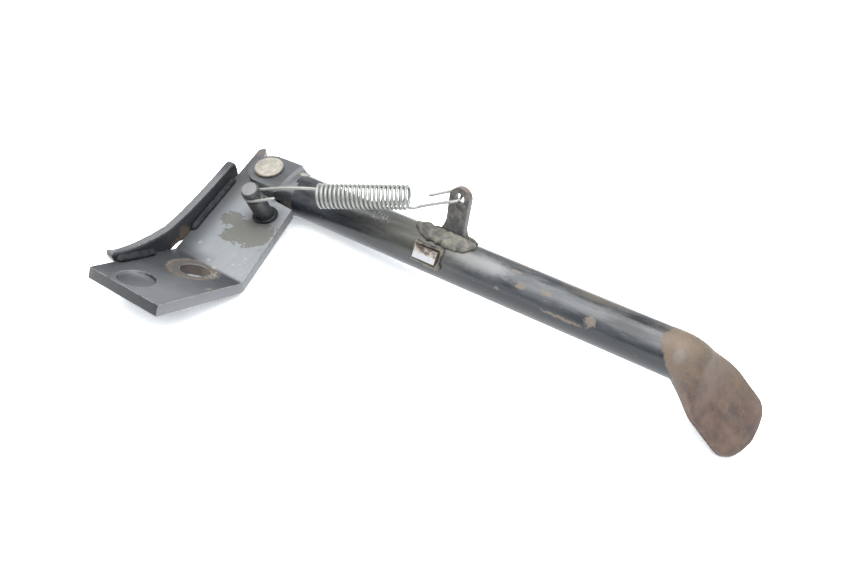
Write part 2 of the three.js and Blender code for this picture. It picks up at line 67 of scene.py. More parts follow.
# ---- the two working frames ---------------------------------------------------------------------------
def bracket_frame():
    """Millimetres in the upper flange's frame to metres in the row frame."""
    pivot = Vector(JOINTS["leg_pivot"]["pos_m"])
    out = Vector(JOINTS["leg_pivot"]["axis"]).normalized()
    along = Vector((0, 1, 0)).cross(out).normalized()
    turn = Matrix((along, out.cross(along), out)).transposed().to_4x4()
    return Matrix.Translation(pivot) @ turn @ Matrix.Scale(MM, 4)


LEG_ANGLE = radians(1.8)
BRACKET = bracket_frame()
LEG = BRACKET @ Matrix.Rotation(LEG_ANGLE, 4, "Z")

# sizes that the looks share with the CAD
PLATE_TOP = 2.5
BEND_Y = -59.7
BEND = radians(29.7)
LOWER_LENGTH = 47.5
TUBE_RADIUS = 10.0
TUBE_END = 208.65
FORK_END = 20.0


def on_lower_flange(x, along, height=0.0):
    """A place on the lower flange, by distance from the bend and height over its top face."""
    return Vector((x, BEND_Y - cos(BEND) * along + sin(BEND) * height,
                   PLATE_TOP + sin(BEND) * along + cos(BEND) * height))


# ---- mesh helpers -------------------------------------------------------------------------------------
def add_object(name, mesh):
    piece = bpy.data.objects.new(name, mesh)
    bpy.context.scene.collection.objects.link(piece)
    return piece


def mesh_from(name, points, faces, place):
    mesh = bpy.data.meshes.new(name)
    mesh.from_pydata([place @ Vector(p) for p in points], [], faces)
    body = bmesh.new()
    body.from_mesh(mesh)
    bmesh.ops.recalc_face_normals(body, faces=body.faces)
    body.to_mesh(mesh)
    body.free()
    return add_object(name, mesh)


def copy_of(node):
    """The CAD solid's mesh in a new object, welded and with its flat faces in one piece."""
    piece = add_object(node + "_skin", frame["nodes"][node].data.copy())
    piece.data.materials.clear()
    body = bmesh.new()
    body.from_mesh(piece.data)
    bmesh.ops.remove_doubles(body, verts=body.verts, dist=2e-6)
    bmesh.ops.dissolve_limit(body, angle_limit=radians(0.8), verts=body.verts, edges=body.edges)
    body.to_mesh(piece.data)
    body.free()
    return piece


def apply_modifiers(piece):
    bpy.context.view_layer.update()
    ready = piece.evaluated_get(bpy.context.evaluated_depsgraph_get())
    mesh = bpy.data.meshes.new_from_object(ready)
    piece.modifiers.clear()
    piece.data = mesh
    return piece


def smooth(piece, sharp=40):
    piece.data.shade_smooth()
    piece.data.set_sharp_from_angle(angle=radians(sharp))
    return piece


def bevelled(piece, width, segments=3, angle=28):
    edge = piece.modifiers.new("edge", "BEVEL")
    edge.width = width * MM
    edge.segments = segments
    edge.limit_method = "ANGLE"
    edge.angle_limit = radians(angle)
    edge.harden_normals = True
    edge.use_clamp_overlap = True
    piece.data.shade_smooth()
    return apply_modifiers(piece)


def remeshed(piece, voxel, rounds):
    skin = piece.modifiers.new("skin", "REMESH")
    skin.mode = "VOXEL"
    skin.voxel_size = voxel * MM
    relax = piece.modifiers.new("relax", "SMOOTH")
    relax.factor = 0.5
    relax.iterations = rounds
    apply_modifiers(piece)
    piece.data.shade_smooth()
    return piece


def lumpy(piece, depth, size, seed=0.0, swell=0.0):
    """Moves the points along their normals by soft noise and a swelling, all in millimetres."""
    mesh = piece.data
    shift = Vector((seed * 7.3, seed * 3.1, -seed * 5.7))
    moves = []
    for vertex in mesh.vertices:
        place = vertex.co / (size * MM) + shift
        height = noise.noise(place) + 0.5 * noise.noise(place * 2.3)
        moves.append(vertex.co + vertex.normal * (height * depth + swell) * MM)
    mesh.vertices.foreach_set("co", [value for point in moves for value in point])
    mesh.update()
    return piece


def loft(name, rings, place):
    """A closed skin over rings that all have the same number of points."""
    count = len(rings[0])
    points = [p for ring in rings for p in ring]
    faces = []
    for i in range(len(rings) - 1):
        for j in range(count):
            a, b = i * count + j, i * count + (j + 1) % count
            faces.append((a, b, b + count, a + count))
    faces.append(tuple(range(count))[::-1])
    faces.append(tuple(range((len(rings) - 1) * count, len(rings) * count)))
    return mesh_from(name, points, faces, place)


def settle(piece, look, *nodes):
    """Dresses a piece, lets it ride on its CAD body and hides the solids that it stands for."""
    piece.data.materials.clear()
    piece.data.materials.append(look)
    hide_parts(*nodes)
    if "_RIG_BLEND" not in piece.data.attributes:
        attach(piece, BODY_OF[nodes[0]])
    return piece


# ---- materials ----------------------------------------------------------------------------------------
SHADE = 0.34  # of a colour as it shows under the bright softbox, the share that is the surface's own
LEG_GLOSS = 0.34  # the paint on the leg mirrors less than most
PAINT_END = (208.8, 209.8)  # where along the leg the paint gives way to bare steel
LUG_LEAN = radians(53)  # how far the lug's broad face turns from facing out
HEAD_AXIS = (0, -0.27, 0.963)  # the way the spring post leans


class Look:
    """One material. Values are numbers, colours or sockets; places are millimetres in a working frame."""

    def __init__(self, name, place):
        self.material = bpy.data.materials.new(name)
        self.material.use_nodes = True
        self.tree = self.material.node_tree
        self.tree.nodes.clear()
        self.shader = self.add("ShaderNodeBsdfPrincipled")
        output = self.add("ShaderNodeOutputMaterial")
        self.tree.links.new(self.shader.outputs["BSDF"], output.inputs["Surface"])
        inverse = place.inverted()
        mapping = self.add("ShaderNodeMapping")
        mapping.inputs["Scale"].default_value = [1 / MM] * 3
        mapping.inputs["Rotation"].default_value = inverse.to_3x3().normalized().to_euler()
        mapping.inputs["Location"].default_value = inverse.translation
        self.tree.links.new(self.add("ShaderNodeTexCoord").outputs["Object"], mapping.inputs["Vector"])
        self.place = mapping.outputs["Vector"]
        self.turn = inverse.to_3x3().normalized()

    def add(self, kind, **settings):
        node = self.tree.nodes.new(kind)
        for key, value in settings.items():
            setattr(node, key, value)
        return node

    def feed(self, socket, value):
        if isinstance(value, bpy.types.NodeSocket):
            self.tree.links.new(value, socket)
        elif isinstance(value, (tuple, list, Vector)) and len(value) == 3 and socket.type == "RGBA":
            socket.default_value = (*value, 1)
        else:
            socket.default_value = value

    def maths(self, operation, a, b=0.0):
        node = self.add("ShaderNodeMath", operation=operation)
        self.feed(node.inputs[0], a)
        self.feed(node.inputs[1], b)
        return node.outputs[0]

    def vector(self, operation, a, b=(0, 0, 0)):
        node = self.add("ShaderNodeVectorMath", operation=operation)
        self.feed(node.inputs[0], a)
        self.feed(node.inputs[1], b)
        return node.outputs["Value" if operation in ("LENGTH", "DOT_PRODUCT", "DISTANCE") else "Vector"]

    def between(self, value, low, high):
        """0 at low and 1 at high, softly."""
        node = self.add("ShaderNodeMapRange", interpolation_type="SMOOTHSTEP")
        self.feed(node.inputs["Value"], value)
        node.inputs["From Min"].default_value = low
        node.inputs["From Max"].default_value = high
        return node.outputs["Result"]

    def noise(self, size, detail=4.0, roughness=0.55, stretch=(1, 1, 1), seed=0.0, twist=0.0):
        """Noise whose features are about size millimetres; stretch lengthens them along an axis."""
        place = self.place
        if stretch != (1, 1, 1) or seed:
            place = self.vector("MULTIPLY", place, tuple(1 / s for s in stretch))
            place = self.vector("ADD", place, (seed * 31.7, seed * 17.1, seed * 53.9))
        node = self.add("ShaderNodeTexNoise")
        self.feed(node.inputs["Vector"], place)
        node.inputs["Scale"].default_value = 1 / size
        node.inputs["Detail"].default_value = detail
        node.inputs["Roughness"].default_value = roughness
        node.inputs["Distortion"].default_value = twist
        return node.outputs["Fac"]

    def mix(self, factor, a, b):
        node = self.add("ShaderNodeMix", data_type="RGBA")
        self.feed(node.inputs[0], factor)
        self.feed(node.inputs[6], a)
        self.feed(node.inputs[7], b)
        return node.outputs[2]

    def blend(self, factor, a, b):
        node = self.add("ShaderNodeMix", data_type="FLOAT")
        self.feed(node.inputs[0], factor)
        self.feed(node.inputs[2], a)
        self.feed(node.inputs[3], b)
        return node.outputs[0]

    def both(self, a, b):
        return self.maths("MULTIPLY", a, b)

    def either(self, a, b):
        return self.maths("MAXIMUM", a, b)

    def spot(self, centre, radii, soft=0.3, ragged=0.0, grain=3.0, seed=0.0):
        """1 inside an ellipsoid, with a soft or ragged edge."""
        away = self.vector("SUBTRACT", self.place, tuple(centre))
        away = self.vector("MULTIPLY", away, tuple(1 / r for r in radii))
        reach = self.vector("LENGTH", away)
        if ragged:
            rough = self.maths("SUBTRACT", self.noise(grain, 5, 0.6, seed=seed + 1), 0.5)
            reach = self.maths("ADD", reach, self.maths("MULTIPLY", rough, 2 * ragged))
        return self.between(reach, 1 + soft / 2, 1 - soft / 2)

    def along(self, direction, low, high):
        """0 before low and 1 after high, measured along a direction in the working frame."""
        return self.between(self.vector("DOT_PRODUCT", self.place, tuple(direction)), low, high)

    def facing(self, direction, low=0.5, high=0.8):
        """1 where the surface faces a direction of the working frame."""
        row = self.turn.transposed() @ Vector(direction)
        normal = self.add("ShaderNodeNewGeometry").outputs["Normal"]
        local = self.add("ShaderNodeVectorTransform", vector_type="NORMAL", convert_from="WORLD",
                         convert_to="OBJECT")
        self.feed(local.inputs[0], normal)
        return self.between(self.vector("DOT_PRODUCT", local.outputs[0], tuple(row)), low, high)

    def edges(self, radius=0.8, low=0.985, high=0.90):
        """1 on sharp edges, where paint rubs off first."""
        bevel = self.add("ShaderNodeBevel", samples=4)
        bevel.inputs["Radius"].default_value = radius * MM
        normal = self.add("ShaderNodeNewGeometry").outputs["Normal"]
        return self.between(self.vector("DOT_PRODUCT", bevel.outputs[0], normal), low, high)

    def finish(self, colour, roughness, metallic=0.0, bump=None, depth=0.1, shade=SHADE, gloss=0.5):
        """Wires the shader; bump is a height and depth its size in millimetres."""
        self.shader.inputs["Specular IOR Level"].default_value = gloss
        self.feed(self.shader.inputs["Base Color"], self.vector("MULTIPLY", colour, [shade] * 3))
        self.feed(self.shader.inputs["Roughness"], roughness)
        self.feed(self.shader.inputs["Metallic"], metallic)
        if bump is not None:
            node = self.add("ShaderNodeBump")
            node.inputs["Distance"].default_value = depth * MM
            self.feed(node.inputs["Height"], bump)
            self.tree.links.new(node.outputs["Normal"], self.shader.inputs["Normal"])
        return self.material


def speckle(look, size, low, high, seed=0.0, stretch=(1, 1, 1)):
    """Small chips, where fine noise passes a threshold."""
    return look.between(look.noise(size, 3, 0.6, stretch, seed=seed), low, high)


def bracket_paint():
    look = Look("bracket_worn_paint", BRACKET)
    cloud = look.noise(9, 5, 0.6)
    fine = look.noise(1.2, 4, 0.65, seed=2)
    streak = look.noise(2.5, 4, 0.6, stretch=(0.4, 3, 1), seed=3)
    lower = look.along((0, -1, 0), -BEND_Y - 1.5, -BEND_Y + 1.0)

    pale = look.mix(cloud, (0.31, 0.335, 0.36), (0.43, 0.455, 0.48))
    pale = look.mix(look.both(look.between(streak, 0.48, 0.72), 0.25), pale, (0.25, 0.26, 0.275))
    olive = look.mix(fine, (0.17, 0.17, 0.155), (0.26, 0.255, 0.23))
    olive_cover = look.spot((18.5, -33, PLATE_TOP), (10.5, 9.0, 6), 0.04, 1.1, 3.2, 4)
    for centre, radii in (((3.6, -31.5, PLATE_TOP), (5.2, 4.6, 6)), ((11, -39.5, PLATE_TOP), (5, 4, 6))):
        olive_cover = look.either(olive_cover, look.spot(centre, radii, 0.04, 1.0, 2.6, 6))
    upper = look.mix(olive_cover, pale, olive)
    flakes = look.both(look.spot((27.5, -51, PLATE_TOP), (7, 8, 6), 0.9, 0.5, 4.0, 2),
                       speckle(look, 0.9, 0.60, 0.66, 5, (1, 2.0, 1)))
    upper = look.mix(look.both(flakes, 0.6), upper, (0.62, 0.63, 0.64))
    # painted shade: near black round the spring post's foot, where it stands on the plate
    post_foot_shade = look.spot((15.5, -22.5, PLATE_TOP), (8.0, 6.5, 6), 1.0, 0.3, 4.0, 1)
    upper = look.mix(look.both(post_foot_shade, 0.75), upper, (0.10, 0.10, 0.10))
    near_pivot = look.spot((-9, -6, PLATE_TOP), (8, 16, 6), 0.9, 0.6, 4.0, 7)
    warm = look.mix(fine, (0.24, 0.215, 0.185), (0.36, 0.335, 0.30))
    upper = look.mix(look.both(near_pivot, 0.5), upper, warm)
    # painted shadow: the upper flange goes dark in a band beside the rib
    rib_shadow = look.along((-1, -0.22, 0), 4.0, 14.5)
    upper = look.mix(look.both(rib_shadow, 0.8), upper, (0.055, 0.06, 0.068))
    spatter = look.spot((2.1, -50.8, PLATE_TOP), (0.7, 1.2, 4), 0.2, 1.2, 0.8, 8)
    upper = look.mix(look.both(spatter, 0.6), upper, look.mix(fine, (0.38, 0.32, 0.25), (0.66, 0.62, 0.56)))
    bend_shade = look.along((0, -1, 0), 52, 59)
    left_half = look.along((-1, 0, 0), -20, -6)
    upper = look.mix(look.both(look.both(bend_shade, left_half), 0.75), upper, (0.07, 0.075, 0.082))

    dark = look.mix(cloud, (0.035, 0.04, 0.047), (0.085, 0.09, 0.10))
    # painted sheen: the lower flange turns a lighter grey towards its near corner
    rub_and_sheen = look.spot(on_lower_flange(37, 44), (25, 28, 20), 1.5, 0.2, 9.0, 3)
    lower_face = look.mix(rub_and_sheen, dark, look.mix(cloud, (0.16, 0.168, 0.18), (0.24, 0.25, 0.262)))
    washer = on_lower_flange(15.7, 9.3)
    outer = look.spot(washer, (11.2, 11.2, 11.2), 0.10, 0.14, 2.2, 5)
    inner = look.spot(washer, (9.7, 9.7, 9.7), 0.16, 0.30, 2.0, 8)
    rust = look.mix(fine, (0.15, 0.105, 0.075), (0.32, 0.255, 0.20))
    rust = look.mix(speckle(look, 1.1, 0.55, 0.62, 6), rust, (0.08, 0.065, 0.055))
    inside = look.mix(look.both(look.between(cloud, 0.35, 0.6), 0.6), rust, (0.13, 0.13, 0.135))
    in_ring = look.mix(inner, rust, inside)
    lower_face = look.mix(look.both(outer, look.blend(inner, 0.85, 0.55)), lower_face, in_ring)
    shiny = look.spot(on_lower_flange(13.5, -3.4), (0.9, 0.8, 3), 0.3, 1.3, 0.6, 11)
    shiny = look.either(shiny, look.spot(on_lower_flange(19.1, -0.5), (1.0, 0.8, 3), 0.3, 1.3, 0.6, 15))
    beside_ring = look.spot(on_lower_flange(23.5, 6.0), (3.6, 6.0, 4), 0.8)
    flaky = look.both(beside_ring, speckle(look, 0.9, 0.53, 0.60, 17))
    shiny = look.either(shiny, flaky)
    near_nick = look.spot(on_lower_flange(34.1, 17.5), (1.2, 1.3, 3), 0.3, 1.0, 0.8, 12)
    lower_face = look.mix(look.both(near_nick, 0.6), lower_face, (0.30, 0.25, 0.20))

    flanges = look.mix(lower, upper, lower_face)
    flanges = look.mix(look.both(shiny, 0.9), flanges, look.mix(fine, (0.46, 0.40, 0.32), (0.85, 0.82, 0.77)))
    # painted light: the plate's side faces take a mid grey of their own by the way they face
    side = look.facing((1, -0.1, 0), 0.55, 0.8)
    side_colour = look.mix(cloud, (0.22, 0.23, 0.245), (0.30, 0.31, 0.325))
    flanges = look.mix(look.both(side, 0.85), flanges, side_colour)
    # painted shade: the lower flange's end face is near black by the way it faces, with a rust spot on it
    end = look.facing(on_lower_flange(0, 1) - on_lower_flange(0, 0), 0.6, 0.85)
    end_colour = look.mix(cloud, (0.015, 0.018, 0.022), (0.05, 0.055, 0.062))
    end_rust = look.spot(on_lower_flange(-4.4, LOWER_LENGTH, -2.6), (2.6, 2.4, 3), 0.7, 0.5, 2.0, 13)
    end_colour = look.mix(look.both(end_rust, 0.6), end_colour, (0.17, 0.11, 0.08))
    flanges = look.mix(end, flanges, end_colour)
    tip_rust = look.spot((-17.5, 13.5, 1.0), (5, 4, 4), 0.6, 0.6, 2.0, 14)
    tip_colour = look.mix(fine, (0.20, 0.15, 0.115), (0.36, 0.31, 0.27))
    flanges = look.mix(look.both(tip_rust, 0.6), flanges, tip_colour)
    in_bore = look.spot(washer - Vector((0, 0, 2)), (7.0, 7.4, 7.4), 0.05)
    walls = look.both(in_bore, look.maths("SUBTRACT", 1, look.facing((0, sin(BEND), cos(BEND)), 0.6, 0.8)))
    # painted shade and highlight: the bore's wall is dark on its left side and paler rust on its right
    wall_colour = look.mix(look.along((1, 0, 0), 14, 19), (0.06, 0.055, 0.055), (0.34, 0.29, 0.23))
    flanges = look.mix(walls, flanges, look.mix(fine, wall_colour, (0.16, 0.12, 0.10)))
    worn_edge = look.both(look.edges(0.55), look.between(look.noise(3.5, 4, 0.6, seed=9), 0.38, 0.52))
    flanges = look.mix(look.both(worn_edge, 0.8), flanges, (0.66, 0.66, 0.66))
    pinholes = speckle(look, 0.8, 0.68, 0.73, 12)
    flanges = look.mix(look.both(pinholes, 0.45), flanges, (0.09, 0.08, 0.07))

    roughness = look.blend(lower, look.blend(olive_cover, 0.50, 0.64), look.blend(outer, 0.44, 0.66))
    roughness = look.maths("ADD", roughness, look.both(look.maths("SUBTRACT", fine, 0.5), 0.25))
    height = look.maths("ADD", look.both(fine, 0.5), look.both(cloud, 1.6))
    height = look.maths("SUBTRACT", height, look.both(look.either(olive_cover, outer), 0.5))
    return look.finish(flanges, roughness, look.both(shiny, 0.5), height, 0.12, gloss=0.38)


def rib_paint():
    look = Look("rib_black_paint", BRACKET)
    cloud = look.noise(7, 5, 0.6, seed=1)
    fine = look.noise(0.9, 4, 0.65, seed=2)
    paint = look.mix(cloud, (0.028, 0.033, 0.042), (0.07, 0.078, 0.09))
    top = look.facing((0, -0.25, 1), 0.72, 0.92)
    brushed = look.noise(1.6, 4, 0.6, stretch=(3.5, 0.35, 1), seed=5)
    # painted highlight: the rib's upward face is paler grey as if lit from above, darker again toward the rib's
    # upper end
    lit_top = look.mix(brushed, (0.13, 0.135, 0.145), (0.36, 0.365, 0.375))
    lit_top = look.mix(look.along((0, 1, 0), -22, -10), lit_top, (0.075, 0.08, 0.088))
    colour = look.mix(look.both(top, 0.85), paint, lit_top)
    rim = look.both(look.edges(0.9, 0.99, 0.93), look.between(look.noise(2.2, 4, 0.7, seed=7), 0.5, 0.6))
    colour = look.mix(look.both(rim, 0.85), colour, look.mix(fine, (0.22, 0.15, 0.10), (0.50, 0.43, 0.36)))
    rust = look.spot((-10, -52, 4), (6, 4.5, 5), 0.5, 0.8, 2.4, 4)
    rust = look.either(rust, look.spot((-3, -58, 3.5), (5, 4, 3), 0.5, 0.9, 1.8, 6))
    colour = look.mix(look.both(rust, 0.7), colour, look.mix(fine, (0.13, 0.075, 0.04), (0.34, 0.24, 0.16)))
    chips = look.both(speckle(look, 1.3, 0.66, 0.70, 9), look.between(cloud, 0.45, 0.6))
    colour = look.mix(chips, colour, (0.27, 0.22, 0.17))
    roughness = look.blend(top, look.blend(rust, 0.36, 0.7), 0.46)
    height = look.maths("ADD", look.both(cloud, 1.5), look.both(fine, 0.35))
    return look.finish(colour, roughness, 0.0, height, 0.14)


def leg_coat(look):
    """Black gloss paint on the leg, paler grey on top from wear with a painted highlight: its colour, roughness
    and height.
    """
    cloud = look.noise(22, 4, 0.5, stretch=(2.2, 1, 1), seed=1)
    fine = look.noise(0.9, 4, 0.65, seed=2)
    streak = look.noise(3.5, 4, 0.55, stretch=(5, 1, 1), seed=3)
    paint = look.mix(cloud, (0.012, 0.015, 0.019), (0.035, 0.042, 0.052))
    # paler grey on the upper side: rubbed paint with a painted highlight from the light above
    top = look.facing((0, -0.25, 1), 0.5, 1.0)
    wear = look.maths("ADD", look.both(cloud, 0.6), look.both(streak, 0.4))
    rub_and_sheen = look.both(top, look.between(wear, 0.38, 0.60))
    grey = look.mix(streak, (0.12, 0.13, 0.145), (0.28, 0.295, 0.31))
    colour = look.mix(look.both(rub_and_sheen, 0.8), paint, grey)
    late = look.along((1, 0, 0), 118, 150)
    smear = look.between(look.noise(7, 5, 0.65, stretch=(3, 1, 1), seed=31), 0.42, 0.58)
    far_top = look.both(look.both(late, smear), look.facing((0, 0.7, 0.7), 0.55, 0.95))
    brown = look.mix(fine, (0.14, 0.11, 0.085), (0.30, 0.25, 0.205))
    colour = look.mix(look.both(far_top, 0.7), colour, brown)
    # painted highlight with wear: a pale grey patch on the tube beside the lug
    lug_side_wear_sheen = look.spot((118, -3.5, 9.5), (14, 3.6, 5), 0.9, 0.6, 5.0, 33)
    colour = look.mix(look.both(lug_side_wear_sheen, 0.75), colour, (0.42, 0.43, 0.44))
    dusty = look.spot((88, -1, 9), (27, 9, 9), 1.5, 0.3, 9.0, 5)
    olive = look.mix(streak, (0.13, 0.128, 0.105), (0.27, 0.262, 0.22))
    colour = look.mix(look.both(dusty, 0.8), colour, olive)
    scraped = look.spot((91, 3.0, 9.5), (6.5, 2.8, 3.5), 0.5, 0.6, 3.0, 7)
    colour = look.mix(look.both(scraped, 0.8), colour, look.mix(fine, (0.15, 0.14, 0.09), (0.42, 0.40, 0.31)))
    ticks = look.both(look.spot((67, -1.5, 9.8), (6.5, 2.4, 3), 0.8),
                      look.between(look.noise(1.1, 3, 0.6, stretch=(0.7, 3.0, 1), seed=9), 0.53, 0.60))
    colour = look.mix(look.both(ticks, 0.8), colour, (0.52, 0.54, 0.57))
    flecks = look.both(speckle(look, 1.3, 0.68, 0.72, 6, (1.5, 1, 1)), look.between(cloud, 0.46, 0.56))
    for centre, radii in (((140.5, -5.9, 8.1), (1.9, 1.3, 2)), ((152.3, -4.4, 9.0), (2.6, 1.0, 2)),
                          ((136.6, -0.9, 10.0), (2.6, 0.8, 2)), ((173.7, -7.6, 6.5), (2.2, 2.4, 2)),
                          ((162, -9.3, 3.6), (9.0, 0.5, 0.7)), ((131, -8.5, 4.5), (1.2, 0.7, 1))):
        flecks = look.either(flecks, look.spot(centre, radii, 0.3, 1.2, 1.3, centre[0] / 10))
    colour = look.mix(look.both(flecks, 0.8), colour, look.mix(fine, (0.20, 0.145, 0.10), (0.50, 0.43, 0.35)))
    worn = look.either(look.both(rub_and_sheen, 0.8), dusty)
    roughness = look.blend(worn, 0.19, 0.34)
    roughness = look.blend(flecks, roughness, 0.7)
    height = look.maths("ADD", look.both(cloud, 1.0), look.both(fine, look.blend(worn, 0.08, 0.4)))
    return colour, roughness, height


def bare_foot(look):
    """Bare steel with a thin brown rust, from scattered pits and stains."""
    cloud = look.noise(12, 5, 0.6, seed=11)
    stain = look.noise(5, 5, 0.65, seed=12)
    fine = look.noise(0.8, 4, 0.7, seed=13)
    colour = look.mix(look.between(cloud, 0.35, 0.65), (0.15, 0.10, 0.083), (0.28, 0.19, 0.15))
    colour = look.mix(look.both(look.between(stain, 0.52, 0.66), 0.55), colour, (0.29, 0.175, 0.13))
    colour = look.mix(look.both(look.between(stain, 0.46, 0.36), 0.55), colour, (0.13, 0.11, 0.105))
    upper = look.along((-0.6, 0.6, 0), -142, -128)
    colour = look.mix(look.both(upper, 0.5), colour, (0.32, 0.255, 0.175))
    colour = look.mix(look.both(speckle(look, 1.5, 0.62, 0.70, 14), 0.35), colour, (0.36, 0.28, 0.23))
    colour = look.mix(look.both(speckle(look, 1.0, 0.64, 0.70, 15), 0.55), colour, (0.09, 0.07, 0.065))
    height = look.maths("ADD", look.both(fine, 0.8), look.both(stain, 1.4))
    return colour, height


def paint_line(look):
    """0 on the paint and 1 on the bare end of the leg, along a ragged line."""
    ragged = look.both(look.maths("SUBTRACT", look.noise(5, 5, 0.6, seed=21), 0.5), 7)
    x = look.vector("DOT_PRODUCT", look.place, (1, 0, 0.7))
    return look.between(look.maths("ADD", x, ragged), *PAINT_END)


def leg_paint(name):
    look = Look(name, LEG)
    colour, roughness, height = leg_coat(look)
    bare, bare_height = bare_foot(look)
    line = paint_line(look)
    return look.finish(look.mix(line, colour, bare), look.blend(line, roughness, 0.62), 0.0,
                       look.blend(line, height, bare_height), 0.10, gloss=LEG_GLOSS)


def foot_rust():
    look = Look("foot_rusty_steel", LEG)
    colour, roughness, height = leg_coat(look)
    bare, bare_height = bare_foot(look)
    dark_spot = look.spot((236, 1, -17), (3.6, 3.0, 5), 0.7, 0.8, 1.6, 22)
    bare = look.mix(look.both(dark_spot, 0.7), bare, (0.11, 0.09, 0.085))
    shine = look.spot((211, -6, 6.5), (2.4, 2.8, 3.0), 0.9, 0.3, 2.0, 23)
    bare = look.mix(look.both(shine, 0.4), bare, (0.42, 0.38, 0.35))
    rim = look.both(look.edges(1.6, 0.99, 0.90), look.between(look.noise(5, 4, 0.6, seed=24), 0.40, 0.62))
    bare = look.mix(look.both(rim, 0.5), bare, (0.34, 0.29, 0.255))
    line = paint_line(look)
    return look.finish(look.mix(line, colour, bare), look.blend(line, roughness, 0.58), look.both(line, 0.15),
                       look.blend(line, height, bare_height), 0.14, gloss=LEG_GLOSS)


def fork_paint():
    look = Look("fork_worn_paint", LEG)
    cloud = look.noise(6, 5, 0.6, seed=4)
    fine = look.noise(0.8, 4, 0.65, seed=5)
    brushed = look.noise(2, 4, 0.6, stretch=(3, 1, 1), seed=6)
    paint = look.mix(cloud, (0.035, 0.039, 0.044), (0.075, 0.08, 0.088))
    # painted highlight: the fork's upward faces are paler grey as if lit from above
    top = look.facing((0, 0, 1), 0.8, 0.97)
    colour = look.mix(look.both(top, 0.9), paint, look.mix(brushed, (0.10, 0.107, 0.117), (0.19, 0.20, 0.21)))
    # painted highlight: a pale line along the crease where the tube is pressed flat
    crease_highlight = look.spot((13.5, 3, 8.5), (1.6, 9, 3), 0.8, 0.3, 2.0, 7)
    colour = look.mix(look.both(crease_highlight, 0.6), colour, (0.36, 0.37, 0.37))
    bare = look.spot((17.5, 4.9, 8.6), (2.0, 1.8, 3), 0.3, 0.8, 1.6, 8)
    colour = look.mix(bare, colour, look.mix(fine, (0.36, 0.31, 0.25), (0.66, 0.63, 0.56)))
    under = look.spot((19, -9, -1), (6, 4, 4), 0.6, 0.8, 2.2, 9)
    colour = look.mix(look.both(under, 0.8), colour, look.mix(fine, (0.13, 0.105, 0.08), (0.27, 0.24, 0.20)))
    rim = look.both(look.edges(0.8), look.between(look.noise(3, 4, 0.6, seed=10), 0.5, 0.6))
    colour = look.mix(look.both(rim, 0.6), colour, (0.33, 0.32, 0.30))
    roughness = look.blend(top, 0.30, 0.42)
    height = look.maths("ADD", look.both(cloud, 1.4), look.both(fine, 0.35))
    return look.finish(colour, roughness, 0.0, height, 0.13)


def tab_paint():
    look = Look("tab_worn_paint", LEG)
    cloud = look.noise(4.5, 5, 0.65, seed=3)
    fine = look.noise(0.7, 4, 0.65, seed=4)
    colour = look.mix(look.between(cloud, 0.38, 0.6), (0.030, 0.032, 0.036), (0.155, 0.14, 0.115))
    rim = look.either(look.edges(0.9, 0.99, 0.93), look.facing((0, 1, 1), 0.9, 0.98))
    colour = look.mix(look.both(rim, 0.8), colour, look.mix(fine, (0.21, 0.155, 0.135), (0.40, 0.32, 0.285)))
    chips = speckle(look, 1.4, 0.60, 0.66, 5)
    colour = look.mix(look.both(chips, 0.7), colour, (0.31, 0.275, 0.215))
    height = look.maths("ADD", look.both(cloud, 1.6), look.both(fine, 0.6))
    return look.finish(colour, look.blend(cloud, 0.30, 0.6), 0.0, height, 0.2)


def weld_coat(name, place, dark, light, seed=0.0, rust=0.7, depth=0.3, gloss=0.5):
    """A hand weld under thin paint, with rust and spatter showing on its bumps."""
    look = Look(name, place)
    cloud = look.noise(3.4, 5, 0.65, seed=seed)
    fine = look.noise(0.7, 4, 0.7, seed=seed + 1)
    colour = look.mix(look.between(cloud, 0.36, 0.64), dark, light)
    colour = look.mix(look.both(speckle(look, 1.5, 0.60, 0.66, seed + 2), rust), colour, (0.36, 0.31, 0.22))
    colour = look.mix(look.both(speckle(look, 2.0, 0.62, 0.70, seed + 3), rust), colour, (0.20, 0.12, 0.08))
    height = look.maths("ADD", look.both(cloud, 2.2), look.both(fine, 0.8))
    return look.finish(colour, look.blend(cloud, 0.48, 0.70), 0.0, height, depth, gloss=gloss)


def lug_steel():
    look = Look("lug_bare_steel", LEG)
    fine = look.noise(0.9, 4, 0.65, seed=2)
    cloud = look.noise(2.4, 4, 0.6, seed=3)
    face = look.facing((0, -sin(LUG_LEAN), cos(LUG_LEAN)), 0.8, 0.95)
    low_half = look.along((0, -cos(LUG_LEAN), -sin(LUG_LEAN)), -0.3, 0.5)
    # painted reflection: the lower half of the lug's broad face is near white, as a face mirroring the room's
    # light
    bright = look.both(face, low_half)
    mottled = look.mix(look.between(cloud, 0.38, 0.62), (0.13, 0.085, 0.06), (0.62, 0.58, 0.53))
    # rust on the lug's other faces, darkened as painted shade
    sides = look.mix(fine, (0.07, 0.045, 0.03), (0.20, 0.155, 0.115))
    colour = look.mix(face, sides, mottled)
    colour = look.mix(bright, colour, look.mix(cloud, (0.72, 0.74, 0.77), (0.88, 0.89, 0.91)))
    # painted shade: a dark mark standing for a slit across the lug's face
    slit_shade = look.spot((92.5, -8.2, 10.0), (2.6, 1.1, 2.2), 0.3, 0.5, 1.2, 4)
    colour = look.mix(look.both(slit_shade, 0.9), colour, (0.07, 0.035, 0.025))
    return look.finish(colour, look.blend(bright, 0.6, 0.4), look.both(bright, 0.2), fine, 0.12,
                       shade=0.42)


